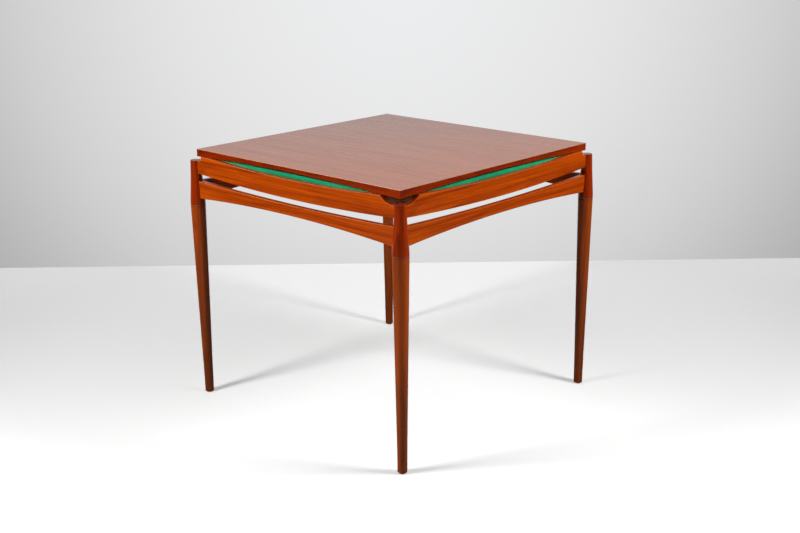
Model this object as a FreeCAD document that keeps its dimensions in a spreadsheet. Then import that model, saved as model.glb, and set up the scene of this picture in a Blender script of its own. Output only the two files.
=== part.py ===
import FreeCAD, Part
import os
import Sketcher

# A square games table with a reversible top board.
# The board lies veneered side up between four upper rails and rests on corner blocks.
# Under its core lies a playing panel, whose lower side and edges are covered in felt.
# Z is up, the origin is on the floor under the middle of the board.
# The sides face the X and Y axes, and front is the side towards -Y.

# Driving sizes in millimetres.
SIZES = {
    # whole table
    "table_height": 742.0,
    "board_side": 784.8,
    # reversible board, from its top face down
    "veneer_thick": 0.8,
    "core_thick": 28.6,
    "felt_thick": 1.2,
    "felt_turn_up": 19.4,
    "lipping_width": 7.2,
    "lipping_depth": 20.5,
    "arch_rise": 9.3,
    "arris_bevel": 0.3,
    # upper rails
    "rail_thick": 16.0,
    "rail_inset": 2.5,
    "rail_set_in": 5.0,
    "board_play": 1.0,
    "rebate_drop": 0.5,
    "horn_proud": 11.8,
    "horn_inset": 63.0,
    "top_dip": 11.0,
    "scallop_drop": 20.0,
    "scallop_end": 12.0,
    "plain_inset": 33.5,
    "plain_run": 6.0,
    "plain_drop": 12.5,
    "upper_depth": 51.5,
    "upper_sag": 13.6,
    "rail_bevel": 1.2,
    # slot and lower rails
    "slot_height": 16.8,
    "lower_sag": 8.0,
    "lower_depth": 28.5,
    "lower_arch": 15.5,
    # posts
    "post_dia": 43.0,
    "post_outset": 3.6,
    "post_tail": 19.9,
    "post_gap": 0.4,
    "collar_height": 10.0,
    "shoulder_dia": 41.6,
    "shoulder_height": 23.0,
    "waist_dia": 33.3,
    "waist_height": 84.0,
    "post_top_dia": 29.5,
    "post_bevel": 1.2,
    # legs
    "ankle_dia": 27.6,
    "ankle_height": 100.0,
    "foot_dia": 25.6,
    # glides under the legs
    "glide_dia": 19.0,
    "glide_thick": 2.5,
    "glide_bevel": 0.8,
    "glide_stem_dia": 6.0,
    "glide_stem": 12.0,
    # bolts that hold the legs, and their threaded inserts
    "bolt_dia": 10.0,
    "bolt_in_post": 20.0,
    "bolt_in_leg": 42.0,
    "insert_dia": 15.0,
    "insert_length": 22.0,
    "fit_play": 0.05,
    "hole_spare": 1.0,
    # dowels between rails and posts
    "dowel_dia": 8.0,
    "dowel_length": 26.0,
    "dowel_inset": 8.5,
    "upper_dowel_edge": 8.0,
    "lower_dowel_edge": 13.0,
    # corner blocks and their screws
    "block_leg": 75.0,
    "block_nose": 14.0,
    "block_height": 32.0,
    "screw_dia": 4.0,
    "screw_head_dia": 8.0,
    "screw_head": 2.5,
    "screw_length": 40.0,
    "screw_bite": 11.0,
    "screw_inset": 30.0,
    "screw_level_a": 7.0,
    "screw_level_b": 19.0,
    "counterbore_dia": 9.0,
    # how far every cutting shape runs past what it cuts
    "overrun": 20.0,
}

# The scallop's middle point, as shares of its run and of its drop.
SCALLOP_RUN_SHARE = 0.44
SCALLOP_DROP_SHARE = 0.76

# Places worked out from the driving sizes, as formulas of a second sheet.
PLACES = {
    "board_half": "Sizes.board_side / 2",
    "post_axis": "board_half + Sizes.post_outset",
    "lipping_inner": "board_half - Sizes.lipping_width",
    "panel_half": "lipping_inner - Sizes.felt_thick",
    "veneer_low": "Sizes.table_height - Sizes.veneer_thick",
    "panel_low": "veneer_low - Sizes.core_thick",
    "underside": "panel_low - Sizes.felt_thick",
    "felt_wall_top": "underside + Sizes.felt_turn_up",
    "panel_thick": "felt_wall_top - panel_low",
    "upper_core_thick": "veneer_low - felt_wall_top",
    "lipping_low": "veneer_low - Sizes.lipping_depth",
    "arch_top": "lipping_low + Sizes.arch_rise",
    "rail_half": "Sizes.rail_thick / 2",
    "rail_line": "post_axis - Sizes.rail_inset",
    "rail_inner": "rail_line - rail_half",
    "rail_end": "post_axis - Sizes.rail_set_in",
    "rebate_wall": "rail_line - board_half - Sizes.board_play",
    "rebate_open": "rail_half + Sizes.overrun",
    "rebate_low": "lipping_low - Sizes.rebate_drop",
    "horn_x": "post_axis - Sizes.horn_inset",
    "horn_top": "underside + Sizes.horn_proud",
    "dip_low": "horn_top - Sizes.top_dip",
    "scallop_x": "post_axis - Sizes.scallop_end",
    "scallop_low": "horn_top - Sizes.scallop_drop",
    "scallop_mid_x": f"scallop_x - (scallop_x - horn_x) * {1 - SCALLOP_RUN_SHARE}",
    "scallop_mid_z": f"horn_top - Sizes.scallop_drop * {SCALLOP_DROP_SHARE}",
    "plain_x": "post_axis - Sizes.plain_inset",
    "plain_foot_x": "plain_x + Sizes.plain_run",
    "plain_low": "horn_top - Sizes.plain_drop",
    "upper_mid_low": "dip_low - Sizes.upper_depth",
    "upper_end_low": "upper_mid_low + Sizes.upper_sag",
    "lower_mid_top": "upper_mid_low - Sizes.slot_height",
    "lower_end_top": "lower_mid_top + Sizes.lower_sag",
    "lower_mid_low": "lower_mid_top - Sizes.lower_depth",
    "lower_end_low": "lower_mid_low - Sizes.lower_arch",
    "post_top": "underside - Sizes.post_gap",
    "joint_z": "lower_end_low - Sizes.post_tail",
    "post_radius": "Sizes.post_dia / 2",
    "post_bevel_radius": "post_radius - Sizes.post_bevel",
    "post_bevel_top": "joint_z + Sizes.post_bevel",
    "leg_bevel_low": "joint_z - Sizes.post_bevel",
    "collar_top": "joint_z + Sizes.collar_height",
    "shoulder_radius": "Sizes.shoulder_dia / 2",
    "shoulder_z": "joint_z + Sizes.shoulder_height",
    "waist_radius": "Sizes.waist_dia / 2",
    "waist_z": "joint_z + Sizes.waist_height",
    "post_top_edge": "post_top - Sizes.post_bevel",
    "post_top_radius": "Sizes.post_top_dia / 2",
    "post_top_inner": "post_top_radius - Sizes.post_bevel",
    "ankle_radius": "Sizes.ankle_dia / 2",
    "foot_radius": "Sizes.foot_dia / 2",
    "foot_bevel_radius": "foot_radius - Sizes.post_bevel",
    "foot_low": "Sizes.glide_thick",
    "foot_bevel_top": "foot_low + Sizes.post_bevel",
    "glide_radius": "Sizes.glide_dia / 2",
    "glide_bevel_radius": "glide_radius - Sizes.glide_bevel",
    "stem_radius": "Sizes.glide_stem_dia / 2",
    "stem_top": "foot_low + Sizes.glide_stem",
    "stem_hole_radius": "stem_radius + Sizes.fit_play",
    "stem_hole_depth": "Sizes.glide_stem + Sizes.hole_spare",
    "bolt_radius": "Sizes.bolt_dia / 2",
    "bolt_low": "joint_z - Sizes.bolt_in_leg",
    "bolt_length": "Sizes.bolt_in_leg + Sizes.bolt_in_post",
    "bolt_hole_radius": "bolt_radius + Sizes.fit_play",
    "bolt_hole_low": "bolt_low - Sizes.hole_spare",
    "bolt_hole_length": "Sizes.bolt_in_leg + Sizes.hole_spare",
    "insert_radius": "Sizes.insert_dia / 2",
    "insert_hole_radius": "insert_radius + Sizes.fit_play",
    "insert_hole_length": "Sizes.insert_length + Sizes.hole_spare",
    "dowel_radius": "Sizes.dowel_dia / 2",
    "dowel_mid": "post_axis - Sizes.dowel_inset - Sizes.dowel_length / 2",
    "dowel_hole_radius": "dowel_radius + Sizes.fit_play",
    "dowel_hole_length": "Sizes.dowel_length + 2 * Sizes.hole_spare",
    "upper_dowel_a": "upper_end_low + Sizes.upper_dowel_edge",
    "upper_dowel_b": "scallop_low - Sizes.upper_dowel_edge",
    "lower_dowel_a": "lower_end_low + Sizes.lower_dowel_edge",
    "lower_dowel_b": "lower_end_top - Sizes.lower_dowel_edge",
    "block_low": "underside - Sizes.block_height",
    "screw_line": "rail_inner - Sizes.screw_inset",
    "screw_tip": "rail_inner + Sizes.screw_bite",
    "screw_mid": "screw_tip - Sizes.screw_length / 2",
    "screw_seat": "screw_tip - Sizes.screw_length",
    "screw_head_mid": "screw_seat + Sizes.screw_head / 2",
    "screw_a_z": "block_low + Sizes.screw_level_a",
    "screw_b_z": "block_low + Sizes.screw_level_b",
    "screw_radius": "Sizes.screw_dia / 2",
    "screw_head_radius": "Sizes.screw_head_dia / 2",
    "screw_hole_radius": "screw_radius + Sizes.fit_play",
    "screw_hole_length": "Sizes.screw_length + Sizes.hole_spare",
    "screw_hole_mid": "screw_tip + Sizes.hole_spare - screw_hole_length / 2",
    "counterbore_radius": "Sizes.counterbore_dia / 2",
    "counterbore_length": "Sizes.block_leg",
    "counterbore_mid": "screw_seat + Sizes.screw_head - counterbore_length / 2",
}

# Corners and sides of the table, with the signs of their X and Y places.
CORNERS = {
    "front_right": (1, -1),
    "back_right": (1, 1),
    "back_left": (-1, 1),
    "front_left": (-1, -1),
}
SIDES = {
    "front": (0, -1),
    "right": (1, 0),
    "back": (0, 1),
    "left": (-1, 0),
}
QUARTER_TURN = 90.0

# The end of each upper rail, along its own length, that has the scallop. The scallops meet
# in pairs, as finger notches at two opposite corners.
SCALLOPED_ENDS = {"front": 1, "right": -1, "back": 1, "left": -1}

doc = FreeCAD.newDocument("games_table")
nodes = []


# Spreadsheets

def make_sheet(name, cells, prefix):
    sheet = doc.addObject("Spreadsheet::Sheet", name)
    for row, (alias, content) in enumerate(cells.items(), start=1):
        sheet.set(f"A{row}", alias)
        sheet.set(f"B{row}", prefix + str(content))
        sheet.setAlias(f"B{row}", alias)
    doc.recompute()
    return sheet


sizes = make_sheet("Sizes", SIZES, "")
places = make_sheet("Places", PLACES, "=")


# A coordinate is zero, or a sign and the name of a cell.

def plus(name):
    return (1, name)


def minus(name):
    return (-1, name)


def number(spot):
    if spot == 0:
        return 0.0
    sign, name = spot
    sheet = sizes if name in SIZES else places
    return sign * float(sheet.get(name))


def formula(spot):
    if spot == 0:
        return "0"
    sign, name = spot
    sheet = "Sizes" if name in SIZES else "Places"
    return f"{sign} * {sheet}.{name}"


def times(sign, name):
    return 0 if sign == 0 else (sign, name)


# Placement helpers

def put(obj, spot_x, spot_y, spot_z, turn=0.0):
    base = FreeCAD.Vector(number(spot_x), number(spot_y), number(spot_z))
    rotation = FreeCAD.Rotation(FreeCAD.Vector(0, 0, 1), turn)
    obj.Placement = FreeCAD.Placement(base, rotation)
    for axis, spot in zip("xyz", (spot_x, spot_y, spot_z)):
        obj.setExpression(f"Placement.Base.{axis}", formula(spot))


def new_body(label):
    body = doc.addObject("PartDesign::Body", label)
    body.Label = label
    return body


def keep(obj, label):
    obj.Label = label
    nodes.append(obj)
    return obj


# Sketch helpers

def new_sketch(body, name, role, level=0):
    plane = next(f for f in body.Origin.OriginFeatures if f.Role == role)
    sketch = body.newObject("Sketcher::SketchObject", name)
    sketch.AttachmentSupport = [(plane, "")]
    sketch.MapMode = "FlatFace"
    if level != 0:
        sketch.setExpression("AttachmentOffset.Base.z", formula(level))
    return sketch


def fix_point(sketch, geometry, end, point):
    for kind, spot in zip(("DistanceX", "DistanceY"), point):
        index = sketch.addConstraint(
            Sketcher.Constraint(kind, -1, 1, geometry, end, number(spot)))
        sketch.setExpression(f"Constraints[{index}]", formula(spot))


def vector(point):
    return FreeCAD.Vector(number(point[0]), number(point[1]), 0)


def add_line(sketch, start, end):
    """Return the geometry's number, and the numbers of its start and end points."""
    geometry = sketch.addGeometry(Part.LineSegment(vector(start), vector(end)))
    return geometry, 1, 2


def add_arc(sketch, start, middle, end):
    """Return the same as add_line. A sketch's arcs run anticlockwise."""
    chord = vector(end) - vector(start)
    bulge = vector(middle) - vector(start)
    first, last = (end, start) if chord.cross(bulge).z > 0 else (start, end)
    arc = Part.Arc(vector(first), vector(middle), vector(last))
    geometry = sketch.addGeometry(arc)
    marker = sketch.addGeometry(Part.Point(vector(middle)), True)
    fix_point(sketch, marker, 1, middle)
    sketch.addConstraint(Sketcher.Constraint("PointOnObject", marker, 1, geometry))
    return (geometry, 1, 2) if first is start else (geometry, 2, 1)


def draw(sketch, outline):
    """Draw a closed outline. An entry of three items bends the edge that leads to it."""
    edges = []
    for before, here in zip(outline[-1:] + outline[:-1], outline):
        if len(here) == 3:
            edges.append(add_arc(sketch, before[:2], here[2], here[:2]))
        else:
            edges.append(add_line(sketch, before[:2], here[:2]))
    for here, edge, following in zip(outline, edges, edges[1:] + edges[:1]):
        fix_point(sketch, edge[0], edge[2], here[:2])
        sketch.addConstraint(Sketcher.Constraint(
            "Coincident", edge[0], edge[2], following[0], following[1]))


def rectangle(low_x, high_x, low_y, high_y):
    return [(low_x, low_y), (high_x, low_y), (high_x, high_y), (low_x, high_y)]


def square(name):
    return rectangle(minus(name), plus(name), minus(name), plus(name))


# Feature helpers

def pad(body, sketch, length, midplane=False):
    feature = body.newObject("PartDesign::Pad", "Pad")
    feature.Profile = sketch
    feature.Length = number(length)
    feature.setExpression("Length", formula(length))
    feature.Midplane = midplane
    doc.recompute()
    return feature


def pocket(body, sketch, length=None, upwards=False):
    before = body.Shape.Volume
    feature = body.newObject("PartDesign::Pocket", "Pocket")
    feature.Profile = sketch
    if length is None:
        feature.Type = "ThroughAll"
        feature.Midplane = True
    else:
        feature.Length = number(length)
        feature.setExpression("Length", formula(length))
    feature.Reversed = upwards
    doc.recompute()
    if not 0 < body.Shape.Volume < before:
        raise RuntimeError(f"{body.Label}: a pocket cut nothing or everything")
    return feature


def bevel_faces(body, base, direction, size):
    """Bevel every edge of the flat faces that look along the direction or against it."""
    names = []
    for index, face in enumerate(base.Shape.Faces, start=1):
        if isinstance(face.Surface, Part.Plane):
            if abs(face.normalAt(0, 0).dot(direction)) > 0.999:
                names.append(f"Face{index}")
    feature = body.newObject("PartDesign::Chamfer", "Bevel")
    feature.Base = (base, names)
    feature.Size = number(size)
    feature.setExpression("Size", formula(size))
    doc.recompute()
    if not 0 < body.Shape.Volume < base.Shape.Volume:
        raise RuntimeError(f"{body.Label}: a bevel failed")
    return feature


def revolve(body, outline):
    sketch = new_sketch(body, "Profile", "XZ_Plane")
    draw(sketch, outline)
    feature = body.newObject("PartDesign::Revolution", "Revolution")
    feature.Profile = sketch
    feature.ReferenceAxis = (sketch, ["V_Axis"])
    feature.Angle = 360.0
    doc.recompute()
    return feature


def rod(name, axis, middle, radius, length):
    """A cylinder along X, Y or Z whose middle point is given."""
    cylinder = doc.addObject("Part::Cylinder", name)
    cylinder.setExpression("Radius", formula(radius))
    cylinder.setExpression("Height", formula(length))
    turn = {"x": ((0, 1, 0), 90.0), "y": ((1, 0, 0), -90.0), "z": ((0, 0, 1), 0.0)}[axis]
    rotation = FreeCAD.Rotation(FreeCAD.Vector(*turn[0]), turn[1])
    cylinder.Placement = FreeCAD.Placement(FreeCAD.Vector(), rotation)
    for letter, spot in zip("xyz", middle):
        text = formula(spot)
        if letter == axis:
            text += f" - ({formula(length)}) / 2"
        cylinder.setExpression(f"Placement.Base.{letter}", text)
    return cylinder


def upright(name, signs, low, radius, length):
    """A cylinder that stands on a level at a post's axis."""
    cylinder = doc.addObject("Part::Cylinder", name)
    cylinder.setExpression("Radius", formula(radius))
    cylinder.setExpression("Height", formula(length))
    put(cylinder, times(signs[0], "post_axis"), times(signs[1], "post_axis"), low)
    return cylinder


def group(name, members):
    compound = doc.addObject("Part::Compound", name)
    compound.Links = members
    return compound


def cut(name, base, tool):
    before = base.Shape.Volume
    feature = doc.addObject("Part::Cut", name)
    feature.Base = base
    feature.Tool = tool
    doc.recompute()
    if not 0 < feature.Shape.Volume < before:
        raise RuntimeError(f"{name}: a cut removed nothing or everything")
    return feature


# Reversible board

def make_core():
    body = new_body("top_core")
    sketch = new_sketch(body, "Outline", "XY_Plane", plus("felt_wall_top"))
    draw(sketch, square("lipping_inner"))
    pad(body, sketch, plus("upper_core_thick"))
    keep(body, "top_core")


def make_playing_panel():
    body = new_body("playing_panel")
    sketch = new_sketch(body, "Outline", "XY_Plane", plus("panel_low"))
    draw(sketch, square("panel_half"))
    pad(body, sketch, plus("panel_thick"))
    keep(body, "playing_panel")


def make_veneer():
    body = new_body("top_veneer")
    sketch = new_sketch(body, "Outline", "XY_Plane", plus("veneer_low"))
    draw(sketch, square("board_half"))
    sheet = pad(body, sketch, plus("veneer_thick"))
    top = max(range(len(sheet.Shape.Faces)), key=lambda i: sheet.Shape.Faces[i].CenterOfMass.z)
    bevel = body.newObject("PartDesign::Chamfer", "Arris")
    bevel.Base = (sheet, [f"Face{top + 1}"])
    bevel.setExpression("Size", formula(plus("arris_bevel")))
    doc.recompute()
    keep(body, "top_veneer")


def make_felt():
    body = new_body("felt_cover")
    outer = new_sketch(body, "Outline", "XY_Plane", plus("underside"))
    draw(outer, square("lipping_inner"))
    pad(body, outer, plus("felt_turn_up"))
    inner = new_sketch(body, "Tray", "XY_Plane", plus("panel_low"))
    draw(inner, square("panel_half"))
    pocket(body, inner, plus("felt_turn_up"), upwards=True)
    keep(body, "felt_cover")


def make_lipping(side, quarter):
    body = new_body(f"lipping_{side}")
    plan = new_sketch(body, "Mitres", "XY_Plane", plus("lipping_low"))
    draw(plan, [
        (minus("board_half"), minus("board_half")),
        (plus("board_half"), minus("board_half")),
        (plus("lipping_inner"), minus("lipping_inner")),
        (minus("lipping_inner"), minus("lipping_inner")),
    ])
    pad(body, plan, plus("lipping_depth"))
    arch = new_sketch(body, "Arch", "XZ_Plane")
    draw(arch, [
        (minus("board_half"), plus("lipping_low")),
        (plus("board_half"), plus("lipping_low"), (0, plus("arch_top"))),
    ])
    pocket(body, arch)
    put(body, 0, 0, 0, quarter * QUARTER_TURN)
    keep(body, f"lipping_{side}")


# Turned posts and legs

def make_post_blank(corner):
    body = new_body(f"blank_post_{corner}")
    revolve(body, [
        (0, plus("joint_z")),
        (plus("post_bevel_radius"), plus("joint_z")),
        (plus("post_radius"), plus("post_bevel_top")),
        (plus("post_radius"), plus("collar_top")),
        (plus("shoulder_radius"), plus("shoulder_z")),
        (plus("waist_radius"), plus("waist_z")),
        (plus("post_top_radius"), plus("post_top_edge")),
        (plus("post_top_inner"), plus("post_top")),
        (0, plus("post_top")),
    ])
    sign_x, sign_y = CORNERS[corner]
    put(body, times(sign_x, "post_axis"), times(sign_y, "post_axis"), 0)
    return body


def make_leg(corner):
    body = new_body(f"blank_leg_{corner}")
    revolve(body, [
        (0, plus("foot_low")),
        (plus("foot_bevel_radius"), plus("foot_low")),
        (plus("foot_radius"), plus("foot_bevel_top")),
        (plus("ankle_radius"), plus("ankle_height")),
        (plus("post_radius"), plus("leg_bevel_low")),
        (plus("post_bevel_radius"), plus("joint_z")),
        (0, plus("joint_z")),
    ])
    signs = CORNERS[corner]
    put(body, times(signs[0], "post_axis"), times(signs[1], "post_axis"), 0)
    bolt_hole = upright(f"leg_bolt_hole_{corner}", signs, plus("bolt_hole_low"),
                        plus("bolt_hole_radius"), plus("bolt_hole_length"))
    stem_hole = upright(f"leg_stem_hole_{corner}", signs, plus("foot_low"),
                        plus("stem_hole_radius"), plus("stem_hole_depth"))
    holes = group(f"leg_holes_{corner}", [bolt_hole, stem_hole])
    doc.recompute()
    keep(cut(f"leg_{corner}", body, holes), f"leg_{corner}")


# Rails

def upper_rail_outline(end):
    """The scallop is at one end of the rail, +1 or -1, and a plain step at the other."""
    scalloped = [
        ((end, "rail_end"), plus("scallop_low")),
        ((end, "scallop_x"), plus("scallop_low")),
        ((end, "horn_x"), plus("horn_top"), ((end, "scallop_mid_x"), plus("scallop_mid_z"))),
    ]
    plain = [
        ((-end, "horn_x"), plus("horn_top"), (0, plus("dip_low"))),
        ((-end, "plain_x"), plus("horn_top")),
        ((-end, "plain_foot_x"), plus("plain_low")),
        ((-end, "rail_end"), plus("plain_low")),
    ]
    lower_edge = [
        ((-end, "rail_end"), plus("upper_end_low")),
        ((end, "rail_end"), plus("upper_end_low"), (0, plus("upper_mid_low"))),
    ]
    return lower_edge + scalloped + plain


def make_upper_rail_blank(side, quarter):
    body = new_body(f"blank_upper_rail_{side}")
    profile = new_sketch(body, "Profile", "XZ_Plane")
    draw(profile, upper_rail_outline(SCALLOPED_ENDS[side]))
    blank = pad(body, profile, plus("rail_thick"), midplane=True)
    bevel_faces(body, blank, FreeCAD.Vector(0, 1, 0), plus("rail_bevel"))
    rebate = new_sketch(body, "Rebate", "XY_Plane", plus("rebate_low"))
    draw(rebate, rectangle(minus("rail_end"), plus("rail_end"),
                           plus("rebate_wall"), plus("rebate_open")))
    pocket(body, rebate, plus("overrun"), upwards=True)
    place_rail(body, side, quarter)
    return body


def make_lower_rail_blank(side, quarter):
    body = new_body(f"blank_lower_rail_{side}")
    profile = new_sketch(body, "Profile", "XZ_Plane")
    draw(profile, [
        (minus("rail_end"), plus("lower_end_low")),
        (plus("rail_end"), plus("lower_end_low"), (0, plus("lower_mid_low"))),
        (plus("rail_end"), plus("lower_end_top")),
        (minus("rail_end"), plus("lower_end_top"), (0, plus("lower_mid_top"))),
    ])
    blank = pad(body, profile, plus("rail_thick"), midplane=True)
    bevel_faces(body, blank, FreeCAD.Vector(0, 1, 0), plus("rail_bevel"))
    place_rail(body, side, quarter)
    return body


def place_rail(body, side, quarter):
    sign_x, sign_y = SIDES[side]
    put(body, times(sign_x, "rail_line"), times(sign_y, "rail_line"), 0,
        quarter * QUARTER_TURN)


# Dowels, screws, bolts and glides

def dowel_rods(prefix, levels, radius, length):
    rods = []
    for corner, (sign_x, sign_y) in CORNERS.items():
        for level in levels:
            along_x = (times(sign_x, "dowel_mid"), times(sign_y, "rail_line"), plus(level))
            along_y = (times(sign_x, "rail_line"), times(sign_y, "dowel_mid"), plus(level))
            name = f"{prefix}_{corner}_{level}"
            rods.append(rod(f"{name}_x", "x", along_x, plus(radius), plus(length)))
            rods.append(rod(f"{name}_y", "y", along_y, plus(radius), plus(length)))
    return rods


def screw_rods(prefix, middle, radius, length):
    """One rod along X and one along Y at each corner block, at their two levels."""
    rods = []
    for corner, (sign_x, sign_y) in CORNERS.items():
        along_x = (times(sign_x, middle), times(sign_y, "screw_line"), plus("screw_a_z"))
        along_y = (times(sign_x, "screw_line"), times(sign_y, middle), plus("screw_b_z"))
        rods.append(rod(f"{prefix}_{corner}_x", "x", along_x, plus(radius), plus(length)))
        rods.append(rod(f"{prefix}_{corner}_y", "y", along_y, plus(radius), plus(length)))
    return rods


def fuse_pairs(name, first, second):
    fused = []
    for index, (one, other) in enumerate(zip(first, second)):
        union = doc.addObject("Part::Fuse", f"{name}_{index}")
        union.Base = one
        union.Tool = other
        fused.append(union)
    doc.recompute()
    return fused


def make_block(corner, quarter, screw_holes):
    body = new_body(f"blank_block_{corner}")
    plan = new_sketch(body, "Plan", "XY_Plane", plus("block_low"))
    draw(plan, [
        (minus("block_nose"), 0),
        (0, plus("block_nose")),
        (0, plus("block_leg")),
        (minus("block_leg"), 0),
    ])
    pad(body, plan, plus("block_height"))
    sign_x, sign_y = CORNERS[corner]
    put(body, times(sign_x, "rail_inner"), times(sign_y, "rail_inner"), 0,
        quarter * QUARTER_TURN)
    keep(cut(f"corner_block_{corner}", body, screw_holes), f"corner_block_{corner}")


def make_glides():
    bodies = []
    for corner, (sign_x, sign_y) in CORNERS.items():
        body = new_body(f"glide_{corner}")
        revolve(body, [
            (0, 0),
            (plus("glide_bevel_radius"), 0),
            (plus("glide_radius"), plus("glide_bevel")),
            (plus("glide_radius"), plus("foot_low")),
            (plus("stem_radius"), plus("foot_low")),
            (plus("stem_radius"), plus("stem_top")),
            (0, plus("stem_top")),
        ])
        put(body, times(sign_x, "post_axis"), times(sign_y, "post_axis"), 0)
        bodies.append(body)
    keep(group("foot_glides", bodies), "foot_glides")


def make_bolts_and_inserts():
    bolts = []
    inserts = []
    for corner, signs in CORNERS.items():
        bolts.append(upright(f"bolt_{corner}", signs, plus("bolt_low"),
                             plus("bolt_radius"), plus("bolt_length")))
        outer = upright(f"insert_outer_{corner}", signs, plus("joint_z"),
                        plus("insert_radius"), plus("insert_length"))
        bore = upright(f"insert_bore_{corner}", signs, plus("joint_z"),
                       plus("bolt_hole_radius"), plus("insert_length"))
        doc.recompute()
        inserts.append(cut(f"insert_{corner}", outer, bore))
    keep(group("leg_bolts", bolts), "leg_bolts")
    keep(group("threaded_inserts", inserts), "threaded_inserts")


# Assembly

make_core()
make_playing_panel()
make_veneer()
make_felt()
for quarter, side in enumerate(SIDES):
    make_lipping(side, quarter)

upper_levels = ("upper_dowel_a", "upper_dowel_b")
lower_levels = ("lower_dowel_a", "lower_dowel_b")
dowel_holes = group("dowel_holes", dowel_rods(
    "dowel_hole", upper_levels + lower_levels, "dowel_hole_radius", "dowel_hole_length"))
screw_holes = group("screw_holes", fuse_pairs(
    "screw_hole",
    screw_rods("pilot", "screw_hole_mid", "screw_hole_radius", "screw_hole_length"),
    screw_rods("counterbore", "counterbore_mid", "counterbore_radius", "counterbore_length")))
doc.recompute()

post_blanks = {corner: make_post_blank(corner) for corner in CORNERS}
all_posts = group("all_post_blanks", list(post_blanks.values()))
doc.recompute()

for corner, blank in post_blanks.items():
    doweled = cut(f"doweled_post_{corner}", blank, dowel_holes)
    insert_hole = upright(f"insert_hole_{corner}", CORNERS[corner], plus("joint_z"),
                          plus("insert_hole_radius"), plus("insert_hole_length"))
    doc.recompute()
    keep(cut(f"post_{corner}", doweled, insert_hole), f"post_{corner}")

for quarter, side in enumerate(SIDES):
    upper = make_upper_rail_blank(side, quarter)
    coped = cut(f"coped_upper_rail_{side}", upper, all_posts)
    doweled = cut(f"doweled_upper_rail_{side}", coped, dowel_holes)
    keep(cut(f"upper_rail_{side}", doweled, screw_holes), f"upper_rail_{side}")
    lower = make_lower_rail_blank(side, quarter)
    coped = cut(f"coped_lower_rail_{side}", lower, all_posts)
    keep(cut(f"lower_rail_{side}", coped, dowel_holes), f"lower_rail_{side}")

for corner in CORNERS:
    make_leg(corner)

for quarter, corner in enumerate(CORNERS):
    make_block(corner, quarter, screw_holes)

keep(group("upper_dowels", dowel_rods(
    "upper_dowel", upper_levels, "dowel_radius", "dowel_length")), "upper_dowels")
keep(group("lower_dowels", dowel_rods(
    "lower_dowel", lower_levels, "dowel_radius", "dowel_length")), "lower_dowels")
keep(group("block_screws", fuse_pairs(
    "block_screw",
    screw_rods("shank", "screw_mid", "screw_radius", "screw_length"),
    screw_rods("head", "screw_head_mid", "screw_head_radius", "screw_head"))), "block_screws")
make_bolts_and_inserts()
make_glides()


# Checks and export

doc.recompute()
for obj in doc.Objects:
    if "Invalid" in obj.State or "Error" in obj.State:
        raise RuntimeError(f"{obj.Label}: {obj.State}")

os.makedirs("parts", exist_ok=True)
for node in nodes:
    shape = node.Shape
    if shape.isNull() or not shape.isValid() or not shape.Solids:
        raise RuntimeError(f"{node.Label}: bad shape")
    shape.exportStep(f"parts/{node.Label}.step")
    box = shape.BoundBox
    print(f"{node.Label:26s} solids {len(shape.Solids):2d}  volume {shape.Volume / 1000:9.2f} cm3"
          f"  z {box.ZMin:7.2f} to {box.ZMax:7.2f}")
print(f"{len(nodes)} nodes written")
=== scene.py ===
# %% [markdown]
# A square games table is dressed for a studio picture.
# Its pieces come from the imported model, in metres, with Z up and the floor at zero.
# They already have the right shapes, so this lesson adds the cloth, the finishes, the light
# and the camera, and leaves the wooden pieces where they are.

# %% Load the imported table
import math
import bmesh
import bpy
from mathutils import Matrix, Vector


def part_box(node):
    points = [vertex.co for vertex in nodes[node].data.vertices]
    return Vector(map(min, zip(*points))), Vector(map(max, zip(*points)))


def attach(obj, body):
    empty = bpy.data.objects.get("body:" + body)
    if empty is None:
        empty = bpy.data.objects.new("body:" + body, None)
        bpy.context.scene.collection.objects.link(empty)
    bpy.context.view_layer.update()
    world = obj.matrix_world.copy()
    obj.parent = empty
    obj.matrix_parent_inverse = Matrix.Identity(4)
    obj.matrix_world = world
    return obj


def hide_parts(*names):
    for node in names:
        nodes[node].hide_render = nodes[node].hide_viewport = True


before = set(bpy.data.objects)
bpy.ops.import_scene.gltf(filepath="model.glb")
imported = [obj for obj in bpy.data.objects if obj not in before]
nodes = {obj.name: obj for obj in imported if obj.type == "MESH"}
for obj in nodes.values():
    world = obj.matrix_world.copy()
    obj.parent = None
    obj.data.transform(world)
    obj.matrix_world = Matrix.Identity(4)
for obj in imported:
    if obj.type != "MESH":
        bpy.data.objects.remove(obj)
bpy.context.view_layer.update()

# %% [markdown]
# The camera stands a little over three metres off and looks down at a corner of the table.
# It could be aimed at a target. Here it gets a position, a heading, a pitch and a slight
# roll instead, because each of them can then be set without moving the others.

# %% Camera
IMAGE_WIDTH = 800
FOCAL_PIXELS = 1133.3
SENSOR_WIDTH = 36.0
EYE = Vector((2.1835, -2.3233, 1.3652))
HEADING = math.radians(42.8877)
PITCH = math.radians(17.14)
ROLL = math.radians(-0.476)

forward = Vector((-math.sin(HEADING) * math.cos(PITCH),
                  math.cos(HEADING) * math.cos(PITCH),
                  -math.sin(PITCH)))
level_right = forward.cross(Vector((0, 0, 1))).normalized()
level_up = level_right.cross(forward)
right = level_right * math.cos(ROLL) + level_up * math.sin(ROLL)
up = level_up * math.cos(ROLL) - level_right * math.sin(ROLL)
turned_to_view = Matrix((right, up, -forward)).transposed().to_4x4()

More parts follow.
